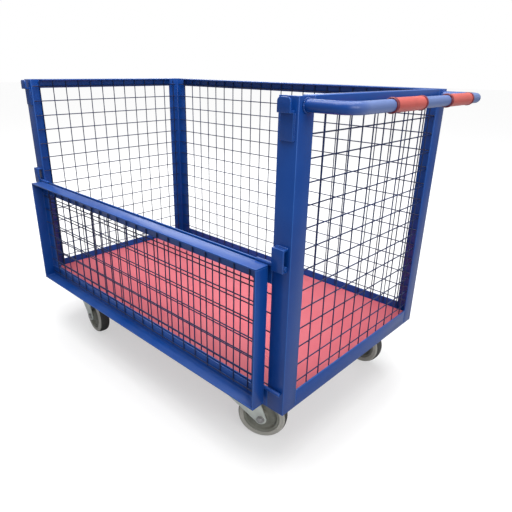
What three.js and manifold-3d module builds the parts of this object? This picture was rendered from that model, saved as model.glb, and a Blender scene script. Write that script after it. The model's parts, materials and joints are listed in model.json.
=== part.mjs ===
// Mesh-sided cage trolley: a welded angle-iron cage on a board deck, with a drop-down half gate on
// the front, a tubular push handle at the +X end and four swivel casters.
// Millimetres, +Z up. The origin is on the floor under the middle of the overall footprint, which
// takes in the push handle at the +X end and the folded gate on the -Y side.
import * as THREE from 'three';
import { mergeVertices } from 'three/addons/utils/BufferGeometryUtils.js';
import Module from 'manifold-3d';

const wasm = await Module();
wasm.setup();

// ---------------------------------------------------------------- driving dimensions
const GAP = 0.3; // clearance between welded or resting neighbours

const LENGTH = 1210; // outside of the posts, along X
const WIDTH = 680; // outside of the posts, along Y
const BASE_Z = 190; // underside of the base frame above the floor
const POST_HEIGHT = 740;

const POST = { flange: 50, wall: 4 };
const BASE_RAIL = { flange: 50, wall: 4 };
const MID_RAIL = { flange: 50, wall: 4, top: 388 }; // heights are measured from the base underside
const TOP_RAIL = { flange: 30, wall: 4 };

const DECK = { thickness: 24, clearance: 8 };
const CROSS = { width: 120, thickness: 4.7, inset: 10 }; // caster plates under the base frame

// Welded square mesh: the first upright in each direction, and how far it laps over flanges.
const MESH = { wire: 3.4, pitch: 50, lap: 30, clear: 4, firstX: -547, firstY: -291 };
// Horizontal wires in each height of panel: the lowest one's height and how many there are.
const MESH_ROWS = {
  full: { first: 66, number: 13 }, lower: { first: 58, number: 6 }, gate: { first: 40, number: 7 },
};

const GATE = { halfLength: 553, bottom: 16, top: 388, back: 11, depth: 40, flange: 40, wall: 4 };
const PIN = { diameter: 10, reach: 598, seat: 40, y: 5.7 }; // y is measured from the post faces
const PIN_HEIGHT = { hinge: 389.8, latch: 61 };
const KEEPER = { wall: 4.5, width: 33, inner: 564, slot: 11.5, bottom: 380, top: 434 };
const HOOK = { seat: 713.3, lip: 738, foot: 656, corner: 8, steps: 5 };

const HANDLE = { radius: 12.5, z: 722, y: 315, reach: 101, bend: 38, sides: 12, steps: 40 };
const GRIP = { outer: 16, inner: 12.8, length: 138, centres: [-108, 160], sides: 16 };

const CASTER = { x: 425, y: 277, height: 185, trail: 50, radius: 70 };
const CASTER_TURN = { front_left: -7, front_right: 28, back_left: -20, back_right: 0 }; // degrees
const PLATE = { length: 120, width: 100, thickness: 5, boltX: 90, boltY: 70, hole: 11 };
const RACEWAY = { radius: 33, neck: 27, lower: 30, sides: 16 };
const FORK = { wall: 4, inside: 52, crownTop: 152, crown: 82, flare: 5, skirt: 24, foot: 17 };
const WHEEL = { width: 40, hubRadius: 52, rim: 45, boss: 20, bossWidth: 48, dish: 8, sides: 20 };
const TYRE = { shoulder: 6, crown: 8 };
const AXLE = { radius: 6, play: 0.05, head: 11, headHeight: 7, sides: 8 };

// ---------------------------------------------------------------- materials
const finish = (color, roughness, metalness) =>
  new THREE.MeshStandardMaterial({ color, roughness, metalness });
const bluePaint = finish(0x1f4488, 0.42, 0.15);
const wirePaint = finish(0x23304f, 0.5, 0.3);
const deckRed = finish(0xe0606a, 0.6, 0);
const gripRed = finish(0xd9574d, 0.5, 0);
const zincSteel = finish(0xa8b0a8, 0.4, 0.8);
const wheelCore = finish(0x5f625a, 0.6, 0);
const tyreGrey = finish(0x3c3d3b, 0.8, 0);

// ---------------------------------------------------------------- shared makers
function addMesh(name, geometry, material, parent = cart) {
  const mesh = new THREE.Mesh(geometry, material);
  mesh.name = name;
  parent.add(mesh);
  return mesh;
}

// Turns a geometry drawn along Z so that its length runs along the named axis. The shape's own
// first and second coordinates become the next two axes in the order x, y, z, x.
function alongAxis(geometry, axis) {
  const x = new THREE.Vector3(1, 0, 0);
  const y = new THREE.Vector3(0, 1, 0);
  const z = new THREE.Vector3(0, 0, 1);
  const frames = { x: [y, z, x], y: [z, x, y], z: [x, y, z] };
  return geometry.applyMatrix4(new THREE.Matrix4().makeBasis(...frames[axis]));
}

// A straight bar of constant section. The outline is [u, v] points: (y, z) for a bar along x,
// (z, x) for one along y and (x, y) for one along z.
function barGeometry(outline, axis, start, end) {
  const shape = new THREE.Shape(outline.map(([u, v]) => new THREE.Vector2(u, v)));
  const geometry = new THREE.ExtrudeGeometry(shape, { depth: end - start, bevelEnabled: false });
  return alongAxis(geometry.translate(0, 0, start), axis);
}

// L section with its outside corner at (u, v); the flanges run towards signU and signV.
function angleOutline(u, v, signU, signV, flange, wall) {
  const points = [[0, 0], [flange, 0], [flange, wall], [wall, wall], [wall, flange], [0, flange]];
  return points.map(([a, b]) => [u + signU * a, v + signV * b]);
}

function boxGeometry(xRange, yRange, zRange) {
  const [width, depth, height] = [xRange, yRange, zRange].map(([low, high]) => high - low);
  const centre = [xRange, yRange, zRange].map(([low, high]) => (low + high) / 2);
  return new THREE.BoxGeometry(width, depth, height).translate(...centre);
}

function toSolid(geometry) {
  const plain = geometry.clone();
  plain.deleteAttribute('normal');
  plain.deleteAttribute('uv');
  const merged = mergeVertices(plain, 1e-4);
  return new wasm.Manifold(new wasm.Mesh({
    numProp: 3,
    vertProperties: new Float32Array(merged.attributes.position.array),
    triVerts: new Uint32Array(merged.index.array),
  }));
}

function toGeometry(solid) {
  const mesh = solid.getMesh();
  const geometry = new THREE.BufferGeometry();
  geometry.setAttribute('position', new THREE.BufferAttribute(mesh.vertProperties, 3));
  geometry.setIndex(new THREE.BufferAttribute(mesh.triVerts, 1));
  geometry.computeVertexNormals();
  return geometry;
}

const joined = (geometries) =>
  toGeometry(geometries.map(toSolid).reduce((whole, piece) => whole.add(piece)));

const cut = (geometry, tools) =>
  toGeometry(tools.map(toSolid).reduce((whole, tool) => whole.subtract(tool), toSolid(geometry)));

const rod = (radius, axis, start, end, u, v, sides) =>
  alongAxis(
    new THREE.CylinderGeometry(radius, radius, end - start, sides)
      .rotateX(Math.PI / 2)
      .translate(u, v, (start + end) / 2),
    axis,
  );

const ordered = (a, b) => (a < b ? [a, b] : [b, a]);

const series = (first, number, step) => Array.from({ length: number }, (_, i) => first + i * step);

const seriesUpTo = (first, last, step) =>
  series(first, Math.floor((last - first) / step) + 1, step);

// A round hole drawn with flat sides is made larger so that the flats clear the given radius.
const boreRadius = (clear, sides) => clear / Math.cos(Math.PI / sides);

// ---------------------------------------------------------------- derived places
const halfX = LENGTH / 2;
const halfY = WIDTH / 2;
const level = (height) => BASE_Z + height; // height above the base underside to world Z
const gateBack = -halfY - GATE.back;
const gateFront = gateBack - GATE.depth;
const railEndX = halfX - POST.flange - GAP; // rails butt against the edges of the post flanges
const railEndY = halfY - POST.flange - GAP;

// Everything is drawn about the middle of the platform, then moved to the middle of the footprint.
const cart = new THREE.Group();
const footprintX = [-halfX, halfX + HANDLE.reach + GRIP.outer];
const footprintY = [gateFront, halfY];
cart.position.set(-(footprintX[0] + footprintX[1]) / 2, -(footprintY[0] + footprintY[1]) / 2, 0);

// ---------------------------------------------------------------- cage frame
function addPosts() {
  for (const [end, signX] of [['left', -1], ['right', 1]]) {
    for (const [side, signY] of [['front', -1], ['back', 1]]) {
      const outline = angleOutline(
        signX * halfX, signY * halfY, -signX, -signY, POST.flange, POST.wall,
      );
      const geometry = barGeometry(outline, 'z', level(0), level(POST_HEIGHT));
      addMesh(`post_${side}_${end}`, geometry, bluePaint);
    }
  }
}

// Long rails run along X on the front or back, end rails along Y at the left or right.
function addRail(name, side, sign, height, signZ, section) {
  const long = side === 'long';
  const face = sign * (long ? halfY : halfX);
  const outline = long
    ? angleOutline(face, height, -sign, signZ, section.flange, section.wall)
    : angleOutline(height, face, signZ, -sign, section.flange, section.wall);
  const end = long ? railEndX : railEndY;
  addMesh(name, barGeometry(outline, long ? 'x' : 'y', -end, end), bluePaint);
}

function addRails() {
  for (const [name, side, sign] of [
    ['front', 'long', -1], ['back', 'long', 1], ['left', 'end', -1], ['right', 'end', 1],
  ]) {
    addRail(`base_rail_${name}`, side, sign, level(0), 1, BASE_RAIL);
    if (name !== 'front') {
      addRail(`top_rail_${name}`, side, sign, level(POST_HEIGHT), -1, TOP_RAIL);
    }
  }
  addRail('mid_rail_front', 'long', -1, level(MID_RAIL.top - MID_RAIL.flange), 1, MID_RAIL);
}

function addDeck() {
  const x = halfX - BASE_RAIL.wall - DECK.clearance;
  const y = halfY - BASE_RAIL.wall - DECK.clearance;
  const z = level(BASE_RAIL.wall + GAP);
  addMesh('deck_board', boxGeometry([-x, x], [-y, y], [z, z + DECK.thickness]), deckRed);
}

function addCrossPlates() {
  const y = halfY - CROSS.inset;
  for (const [end, sign] of [['left', -1], ['right', 1]]) {
    const x = sign * CASTER.x;
    const half = CROSS.width / 2;
    const top = level(0) - GAP;
    addMesh(
      `caster_cross_plate_${end}`,
      boxGeometry([x - half, x + half], [-y, y], [top - CROSS.thickness, top]),
      bluePaint,
    );
  }
}

// ---------------------------------------------------------------- welded mesh
// Uprights lie against the flanges and the cross wires lie on their inner side, touching them.
// A panel is drawn in the (across, z) plane; `face` is where the uprights start and `inward` the
// direction of the cage inside.
function meshPanel(alongX, face, inward, uprights, levels, acrossRange, zRange) {
  const wire = MESH.wire;
  const layer = (index) => {
    const near = face + inward * wire * index;
    return ordered(near, near + inward * wire);
  };
  const place = (across, depth, z) =>
    alongX ? boxGeometry(across, depth, z) : boxGeometry(depth, across, z);
  const span = (centre) => [centre - wire / 2, centre + wire / 2];
  return joined([
    ...uprights.map((u) => place(span(u), layer(0), zRange)),
    ...levels.map((z) => place(acrossRange, layer(1), span(z))),
  ]);
}

const rowsOf = ({ first, number }) => series(level(first), number, MESH.pitch);

function addFixedPanels() {
  const longFace = halfY - POST.wall - GAP;
  const endFace = halfX - POST.wall - GAP;
  const longReach = halfX - POST.flange + MESH.lap;
  const endReach = halfY - POST.flange + MESH.lap;
  const bottom = level(DECK.thickness + BASE_RAIL.wall + MESH.clear);
  const top = level(POST_HEIGHT - TOP_RAIL.wall - MESH.clear);
  const levels = rowsOf(MESH_ROWS.full);
  const longUprights = seriesUpTo(MESH.firstX, halfX - POST.flange, MESH.pitch);
  const endUprights = seriesUpTo(MESH.firstY, halfY - POST.flange, MESH.pitch);

  addMesh(
    'mesh_back',
    meshPanel(true, longFace, -1, longUprights, levels, [-longReach, longReach], [bottom, top]),
    wirePaint,
  );
  for (const [end, sign] of [['left', -1], ['right', 1]]) {
    const range = [-endReach, endReach];
    addMesh(
      `mesh_${end}`,
      meshPanel(false, sign * endFace, -sign, endUprights, levels, range, [bottom, top]),
      wirePaint,
    );
  }
  const lowerTop = level(MID_RAIL.top - MID_RAIL.flange - MESH.clear); // under the inward flange
  const lower = rowsOf(MESH_ROWS.lower);
  addMesh(
    'mesh_front_lower',
    meshPanel(true, -longFace, 1, longUprights, lower, [-longReach, longReach], [bottom, lowerTop]),
    wirePaint,
  );
}

// ---------------------------------------------------------------- drop gate
// The gate hangs in front of the lower panel. Its angles make a shallow tray, open to the front:
// one flange lies in the plane of the mesh at the back, the other stands round the outside.
function addGateFrame() {
  const { halfLength, flange, wall } = GATE;
  const bottom = level(GATE.bottom);
  const top = level(GATE.top);
  for (const [name, edge, inward] of [['top', top, -1], ['bottom', bottom, 1]]) {
    const rim = ordered(edge, edge + inward * wall);
    const web = ordered(edge + inward * wall, edge + inward * flange);
    const webEnd = halfLength - wall - GAP;
    addMesh(`gate_rail_${name}`, joined([
      boxGeometry([-halfLength, halfLength], [gateFront, gateBack], rim),
      boxGeometry([-webEnd, webEnd], [gateBack - wall, gateBack], web),
    ]), bluePaint);
  }
  for (const [name, sign] of [['left', -1], ['right', 1]]) {
    const rim = ordered(sign * halfLength, sign * (halfLength - wall));
    const web = ordered(sign * (halfLength - wall), sign * (halfLength - flange));
    addMesh(`gate_stile_${name}`, joined([
      boxGeometry(rim, [gateFront, gateBack], [bottom + wall + GAP, top - wall - GAP]),
      boxGeometry(web, [gateBack - wall, gateBack], [bottom + flange + GAP, top - flange - GAP]),
    ]), bluePaint);
  }
}

function addGateMesh() {
  const inset = GATE.wall + 3 * MESH.clear; // from the gate's outline, clear of the rim flanges
  const reach = GATE.halfLength - inset;
  const low = level(GATE.bottom + inset);
  const high = level(GATE.top - inset);
  const uprights = seriesUpTo(MESH.firstX + MESH.pitch, reach, MESH.pitch);
  const levels = rowsOf(MESH_ROWS.gate);
  addMesh(
    'mesh_gate',
    meshPanel(true, gateBack - GATE.wall - GAP, -1, uprights, levels, [-reach, reach], [low, high]),
    wirePaint,
  );
}

// The pins lie on the back of the gate's frame and run out past its ends. The upper ones turn in
// the keepers; the lower ones drop into the hooks at the post tops when the gate is raised.
function addGatePins() {
  const radius = PIN.diameter / 2;
  for (const [name, sign] of [['left', -1], ['right', 1]]) {
    const range = ordered(sign * (GATE.halfLength - PIN.seat), sign * PIN.reach);
    for (const [kind, height] of Object.entries(PIN_HEIGHT)) {
      addMesh(
        `gate_${kind}_pin_${name}`,
        rod(radius, 'x', ...range, -halfY - PIN.y, level(height), 16),
        zincSteel,
      );
    }
  }
}

// ---------------------------------------------------------------- keepers and hooks on the posts
const postFace = -halfY - GAP;

function roundedTopCutters(xRange, yRange, top, radius) {
  return xRange.map((edge, index) => {
    const inward = index === 0 ? 1 : -1;
    const corner = new THREE.Shape();
    corner.moveTo(top + 1, edge - inward);
    corner.lineTo(top + 1, edge + inward * radius);
    corner.lineTo(top, edge + inward * radius);
    for (let i = 1; i <= HOOK.steps; i += 1) {
      const angle = (i / HOOK.steps) * (Math.PI / 2);
      corner.lineTo(
        top - radius + radius * Math.cos(angle),
        edge + inward * radius * (1 - Math.sin(angle)),
      );
    }
    corner.lineTo(top - radius, edge - inward);
    const depth = yRange[1] - yRange[0] + 2;
    const geometry = new THREE.ExtrudeGeometry(corner, { depth, bevelEnabled: false });
    return alongAxis(geometry.translate(0, 0, yRange[0] - 1), 'y');
  });
}

// Closed strap loop that the hinge pin turns and lifts in.
function keeperGeometry(xRange) {
  const { wall, slot } = KEEPER;
  const front = postFace + GAP - slot - wall;
  const bottom = level(KEEPER.bottom);
  const top = level(KEEPER.top);
  return joined([
    boxGeometry(xRange, [front, front + wall], [bottom, top]),
    boxGeometry(xRange, [front + wall / 2, postFace], [bottom, bottom + wall]),
    boxGeometry(xRange, [front + wall / 2, postFace], [top - wall, top]),
  ]);
}

// Open hook: foot welded to the post, step out, and a lip with rounded corners.
function hookGeometry(xRange) {
  const { wall, slot } = KEEPER;
  const front = postFace + GAP - slot - wall;
  const seat = level(HOOK.seat);
  const lip = level(HOOK.lip);
  const strap = joined([
    boxGeometry(xRange, [postFace - wall, postFace], [level(HOOK.foot), seat]),
    boxGeometry(xRange, [front, postFace - wall / 2], [seat - wall, seat]),
    boxGeometry(xRange, [front, front + wall], [seat - wall, lip]),
  ]);
  return cut(strap, roundedTopCutters(xRange, [front, front + wall], lip, HOOK.corner));
}

function addKeepersAndHooks() {
  for (const [name, sign] of [['left', -1], ['right', 1]]) {
    const range = ordered(sign * KEEPER.inner, sign * (KEEPER.inner + KEEPER.width));
    addMesh(`gate_keeper_${name}`, keeperGeometry(range), bluePaint);
    addMesh(`gate_hook_${name}`, hookGeometry(range), bluePaint);
  }
}

// ---------------------------------------------------------------- push handle
function addHandle() {
  const { radius, y, reach, bend } = HANDLE;
  const start = halfX + GAP;
  const outer = halfX + reach;
  const z = level(HANDLE.z);
  const at = (px, py) => new THREE.Vector3(px, py, z);
  const path = new THREE.CurvePath();
  path.add(new THREE.LineCurve3(at(start, -y), at(outer - bend, -y)));
  path.add(new THREE.QuadraticBezierCurve3(at(outer - bend, -y), at(outer, -y), at(outer, -y + bend)));
  path.add(new THREE.LineCurve3(at(outer, -y + bend), at(outer, y - bend)));
  path.add(new THREE.QuadraticBezierCurve3(at(outer, y - bend), at(outer, y), at(outer - bend, y)));
  path.add(new THREE.LineCurve3(at(outer - bend, y), at(start, y)));
  const section = new THREE.Shape();
  for (let i = 0; i < HANDLE.sides; i += 1) {
    const angle = (i / HANDLE.sides) * Math.PI * 2;
    const point = [radius * Math.cos(angle), radius * Math.sin(angle)];
    if (i === 0) section.moveTo(...point);
    else section.lineTo(...point);
  }
  const options = { steps: HANDLE.steps, extrudePath: path, bevelEnabled: false };
  addMesh('push_handle', new THREE.ExtrudeGeometry(section, options), bluePaint);

  GRIP.centres.forEach((centre, index) => {
    const half = GRIP.length / 2;
    const profile = [
      [GRIP.inner, -half], [GRIP.outer - 1, -half], [GRIP.outer, -half + 2],
      [GRIP.outer, half - 2], [GRIP.outer - 1, half], [GRIP.inner, half], [GRIP.inner, -half],
    ];
    const grip = addMesh(
      `handle_grip_${index === 0 ? 'front' : 'back'}`,
      turnedGeometry(profile, GRIP.sides),
      gripRed,
    );
    grip.position.set(outer, centre, z);
  });
}

// ---------------------------------------------------------------- casters
// Each caster is built about its stem at (0, 0) with the wheel trailing towards +X, then turned.
function topPlateGeometry() {
  const { length, width, thickness, boltX, boltY, hole } = PLATE;
  const z = [CASTER.height - thickness, CASTER.height - GAP];
  const holes = [];
  for (const sx of [-1, 1]) {
    for (const sy of [-1, 1]) {
      holes.push(rod(
        hole / 2, 'z', z[0] - 1, z[1] + 1, (sx * boltX) / 2, (sy * boltY) / 2, 6,
      ));
    }
  }
  return cut(boxGeometry([-length / 2, length / 2], [-width / 2, width / 2], z), holes);
}

// A profile of [radius, distance along the axis] points, turned about the Y axis.
const turnedGeometry = (profile, sides) =>
  new THREE.LatheGeometry(profile.map(([r, h]) => new THREE.Vector2(r, h)), sides);

// Raceway cup under the plate: a solid turned ring with the king pin in its middle.
function swivelHeadGeometry() {
  const top = CASTER.height - PLATE.thickness - GAP;
  const bottom = FORK.crownTop + GAP;
  const third = (top - bottom) / 3;
  const profile = [
    [0, bottom], [RACEWAY.lower, bottom], [RACEWAY.radius, bottom + third],
    [RACEWAY.radius, top - third], [RACEWAY.neck, top], [0, top],
  ];
  return turnedGeometry(profile, RACEWAY.sides).rotateX(Math.PI / 2);
}

function forkGeometry() {
  const { wall, inside, crownTop, crown, flare, skirt, foot } = FORK;
  const axleZ = CASTER.radius;
  const trail = CASTER.trail;
  const outer = inside / 2 + wall;
  const cheek = new THREE.Shape();
  cheek.moveTo(-crown / 2, crownTop);
  cheek.lineTo(-crown / 2, crownTop - skirt);
  const steps = 6;
  for (let i = 0; i <= steps; i += 1) { // round the axle boss, from its left side underneath
    const angle = Math.PI * (1.16 + (0.84 * i) / steps);
    cheek.lineTo(trail + foot * Math.cos(angle), axleZ + foot * Math.sin(angle));
  }
  cheek.lineTo(crown / 2 + flare, crownTop - skirt);
  cheek.lineTo(crown / 2, crownTop);
  // the cheek is drawn in (x, z); extruding it and turning it up puts its thickness along -Y
  const plate = (yStart) =>
    new THREE.ExtrudeGeometry(cheek, { depth: wall, bevelEnabled: false })
      .rotateX(Math.PI / 2)
      .translate(0, yStart + wall, 0);
  const crownPlate = boxGeometry(
    [-crown / 2, crown / 2], [-outer, outer], [crownTop - wall, crownTop],
  );
  const body = joined([crownPlate, plate(-outer), plate(outer - wall)]);
  const radius = boreRadius(AXLE.radius + AXLE.play, 16);
  const bore = rod(radius, 'y', -outer - 1, outer + 1, axleZ, trail, 16);
  return cut(body, [bore]);
}

function hubGeometry() {
  const { hubRadius, rim, boss, bossWidth, dish, width, sides } = WHEEL;
  const bore = boreRadius(AXLE.radius + AXLE.play, sides);
  const rimEdge = width / 2 - 1;
  const web = width / 2 - dish;
  const half = [
    [bore, bossWidth / 2], [boss, bossWidth / 2], [boss + 2, web], [rim - 3, web],
    [rim, rimEdge], [hubRadius, rimEdge],
  ];
  const mirrored = half.map(([r, h]) => [r, -h]);
  return turnedGeometry([...mirrored, ...half.reverse(), mirrored[0]], sides);
}

function tyreGeometry() {
  const { hubRadius, width } = WHEEL;
  const inner = hubRadius + GAP;
  const outer = CASTER.radius;
  const half = width / 2;
  const { shoulder, crown } = TYRE;
  const profile = [
    [inner, -half], [outer - shoulder, -half], [outer, -half + crown], [outer, half - crown],
    [outer - shoulder, half], [inner, half], [inner, -half],
  ];
  return turnedGeometry(profile, WHEEL.sides);
}

function axleGeometry() {
  const outer = FORK.inside / 2 + FORK.wall + GAP;
  const { radius, head, headHeight } = AXLE;
  const profile = [
    [0, -outer - headHeight], [head, -outer - headHeight], [head, -outer], [radius, -outer],
    [radius, outer], [head, outer], [head, outer + headHeight], [0, outer + headHeight],
  ];
  return turnedGeometry(profile, AXLE.sides);
}

function addCaster(name, x, y, turn) {
  const place = new THREE.Group();
  place.position.set(x, y, 0);
  cart.add(place);
  addMesh(`caster_plate_${name}`, topPlateGeometry(), zincSteel, place);
  addMesh(`caster_raceway_${name}`, swivelHeadGeometry(), zincSteel, place);
  const swivel = new THREE.Group();
  swivel.rotation.z = THREE.MathUtils.degToRad(turn);
  place.add(swivel);
  addMesh(`caster_fork_${name}`, forkGeometry(), zincSteel, swivel);
  for (const [piece, geometry, material] of [
    ['axle', axleGeometry(), zincSteel],
    ['hub', hubGeometry(), wheelCore],
    ['tyre', tyreGeometry(), tyreGrey],
  ]) {
    const mesh = addMesh(`caster_${piece}_${name}`, geometry, material, swivel);
    mesh.position.set(CASTER.trail, 0, CASTER.radius);
  }
}

// ---------------------------------------------------------------- assembly
addPosts();
addRails();
addDeck();
addCrossPlates();
addFixedPanels();
addGateFrame();
addGateMesh();
addGatePins();
addKeepersAndHooks();
addHandle();
for (const [name, turn] of Object.entries(CASTER_TURN)) {
  const signX = name.endsWith('left') ? -1 : 1;
  const signY = name.startsWith('front') ? -1 : 1;
  addCaster(name, signX * CASTER.x, signY * CASTER.y, turn);
}

export default cart;
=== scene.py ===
import json
import math
import random

import bmesh
import bpy
from mathutils import Matrix, Vector


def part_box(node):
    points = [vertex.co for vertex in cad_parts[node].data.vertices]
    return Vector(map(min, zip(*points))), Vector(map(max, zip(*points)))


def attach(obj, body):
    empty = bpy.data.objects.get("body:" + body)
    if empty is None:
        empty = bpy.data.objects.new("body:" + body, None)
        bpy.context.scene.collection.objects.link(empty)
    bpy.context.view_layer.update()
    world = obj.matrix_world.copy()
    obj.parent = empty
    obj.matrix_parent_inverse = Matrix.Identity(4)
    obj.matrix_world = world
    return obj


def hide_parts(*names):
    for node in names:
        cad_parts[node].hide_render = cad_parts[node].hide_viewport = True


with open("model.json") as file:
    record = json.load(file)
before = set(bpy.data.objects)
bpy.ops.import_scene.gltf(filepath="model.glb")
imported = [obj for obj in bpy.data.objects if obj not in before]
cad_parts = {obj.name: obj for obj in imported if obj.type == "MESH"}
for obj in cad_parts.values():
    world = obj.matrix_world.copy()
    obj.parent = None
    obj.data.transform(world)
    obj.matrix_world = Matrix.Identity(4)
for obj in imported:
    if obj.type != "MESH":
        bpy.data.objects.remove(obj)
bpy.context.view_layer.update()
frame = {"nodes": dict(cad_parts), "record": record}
random.seed(5)

behaviour = frame["record"]["behaviour"]
bodyOfNode = {node: body for body, nodes in behaviour["bodies"].items() for node in nodes}
jointNamed = {joint["name"]: joint for joint in behaviour["joints"]}
corners = ("front_left", "front_right", "back_left", "back_right")
ends = ("left", "right")

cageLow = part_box("post_front_left")[0]  # gate side, away from the handle, underneath
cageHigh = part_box("post_back_right")[1]
cageMiddle = (cageLow + cageHigh) / 2


# ---- bmesh helpers
def newBmesh():
    bm = bmesh.new()
    bm.faces.layers.float.new("edge")  # 1 where paint wears first, and where a painted edge highlight goes
    bm.faces.layers.float.new("tone")  # differs from wire to wire, and marks a tyre's tread
    return bm


def markFaces(bm, faces, layerName, value):
    layer = bm.faces.layers.float[layerName]
    for face in faces:
        face[layer] = value


def facesOf(made):
    return {face for vert in made["verts"] for face in vert.link_faces}


def roundEdges(bm, edges, width, segments=2, wear=1):
    made = bmesh.ops.bevel(
        bm, geom=list(edges), offset=width, offset_type="OFFSET", affect="EDGES",
        segments=segments, profile=0.5, material=-1, clamp_overlap=True,
    )
    markFaces(bm, made["faces"], "edge", wear)


def turnTowards(direction):
    turn = Vector((0, 0, 1)).rotation_difference(Vector(direction).normalized())
    return turn.to_matrix().to_4x4()


def addRod(bm, start, end, radius, segments=24, chamfer=0.0):
    start, end = Vector(start), Vector(end)
    made = bmesh.ops.create_cone(
        bm, cap_ends=True, segments=segments, radius1=radius, radius2=radius,
        depth=(end - start).length,
        matrix=Matrix.Translation((start + end) / 2) @ turnTowards(end - start),
    )
    faces = facesOf(made)
    if chamfer:
        caps = [face for face in faces if len(face.verts) == segments and segments != 4]
        roundEdges(bm, {edge for cap in caps for edge in cap.edges}, chamfer)
    return faces


def addBlock(bm, low, high, rounding=0.0, segments=2):
    low, high = Vector(low), Vector(high)
    place = Matrix.Translation((low + high) / 2) @ Matrix.Diagonal((*(high - low), 1))
    made = bmesh.ops.create_cube(bm, size=1, matrix=place)
    if rounding:
        roundEdges(bm, {e for vert in made["verts"] for e in vert.link_edges}, rounding, segments)


def addBlob(bm, radius, place, wear):
    made = bmesh.ops.create_icosphere(bm, subdivisions=1, radius=radius, matrix=place)
    markFaces(bm, facesOf(made), "edge", wear)


def addTurned(bm, profile, steps, place, closed=True):
    # profile is (radius, height) points, spun about local Z in an empty bmesh, then put in place
    verts = [bm.verts.new((radius, 0, height)) for radius, height in profile]
    pairs = list(zip(verts, verts[1:])) + ([(verts[-1], verts[0])] if closed else [])
    edges = [bm.edges.new(pair) for pair in pairs]
    bmesh.ops.spin(
        bm, geom=verts + edges, cent=(0, 0, 0), axis=(0, 0, 1), angle=math.tau,
        steps=steps, use_merge=True, use_duplicate=False,
    )
    bmesh.ops.remove_doubles(bm, verts=bm.verts, dist=1e-6)
    bmesh.ops.transform(bm, matrix=place, verts=bm.verts)


def mirrored(side):
    # a turned profile that is the same above and below height 0
    return side + [(radius, -height) for radius, height in reversed(side)]


def addObject(name, data):
    thing = bpy.data.objects.new(name, data)
    bpy.context.scene.collection.objects.link(thing)
    return thing


def finishPiece(name, bm, material, body, stands=(), sharpAngle=35):
    bmesh.ops.recalc_face_normals(bm, faces=bm.faces)
    mesh = bpy.data.meshes.new(name)
    bm.to_mesh(mesh)
    bm.free()
    mesh.polygons.foreach_set("use_smooth", [True] * len(mesh.polygons))
    mesh.set_sharp_from_angle(angle=math.radians(sharpAngle))
    mesh.materials.append(material)
    piece = addObject(name, mesh)
    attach(piece, body)
    if stands:
        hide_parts(*stands)
    return piece


# ---- shader helpers
def newGroup(name, inputs, outputs):
    group = bpy.data.node_groups.new(name, "ShaderNodeTree")
    for label, kind, value in inputs:
        socket = group.interface.new_socket(name=label, in_out="INPUT", socket_type=kind)
        socket.default_value = value
    for label, kind in outputs:
        group.interface.new_socket(name=label, in_out="OUTPUT", socket_type=kind)
    return group, group.nodes.new("NodeGroupInput"), group.nodes.new("NodeGroupOutput")


def feed(tree, socket, value):
    if isinstance(value, bpy.types.NodeSocket):
        tree.links.new(value, socket)
    else:
        socket.default_value = value


def addNode(tree, kind, sockets=None, **settings):
    node = tree.nodes.new(kind)
    for key, value in settings.items():
        setattr(node, key, value)
    for key, value in (sockets or {}).items():
        feed(tree, node.inputs[key], value)
    return node


def mathNode(tree, operation, a, b=0.0, clamp=False):
    node = addNode(tree, "ShaderNodeMath", {0: a, 1: b}, operation=operation, use_clamp=clamp)
    return node.outputs[0]


def scaled(tree, a, b):
    return mathNode(tree, "MULTIPLY", a, b)


def rangeNode(tree, value, fromLow, fromHigh, toLow=0.0, toHigh=1.0):
    return addNode(tree, "ShaderNodeMapRange", {
        "Value": value, "From Min": fromLow, "From Max": fromHigh,
        "To Min": toLow, "To Max": toHigh,
    }).outputs["Result"]


mixSockets = {"factor": 0, "first": 6, "second": 7, "result": 2}  # of a Mix node set to colour


def mixColour(tree, factor, a, b):
    first, second = (
        value if isinstance(value, bpy.types.NodeSocket) else (*value, 1) for value in (a, b)
    )
    node = addNode(tree, "ShaderNodeMix", data_type="RGBA")
    for label, value in (("factor", factor), ("first", first), ("second", second)):
        feed(tree, node.inputs[mixSockets[label]], value)
    return node.outputs[mixSockets["result"]]


def makeMottleGroup():
    # uneven film and fine texture, in object space
    group, start, end = newGroup(
        "mottle",
        [("broadScale", "NodeSocketFloat", 6.0), ("fineScale", "NodeSocketFloat", 300.0)],
        [("broad", "NodeSocketFloat"), ("fine", "NodeSocketFloat")],
    )
    place = addNode(group, "ShaderNodeTexCoord").outputs["Object"]
    for label, scale, detail in (("broad", "broadScale", 5.0), ("fine", "fineScale", 3.0)):
        noise = addNode(group, "ShaderNodeTexNoise", {
            "Vector": place, "Scale": start.outputs[scale], "Detail": detail, "Roughness": 0.6,
        })
        group.links.new(rangeNode(group, noise.outputs["Fac"], 0.3, 0.7), end.inputs[label])
    return group


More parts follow.
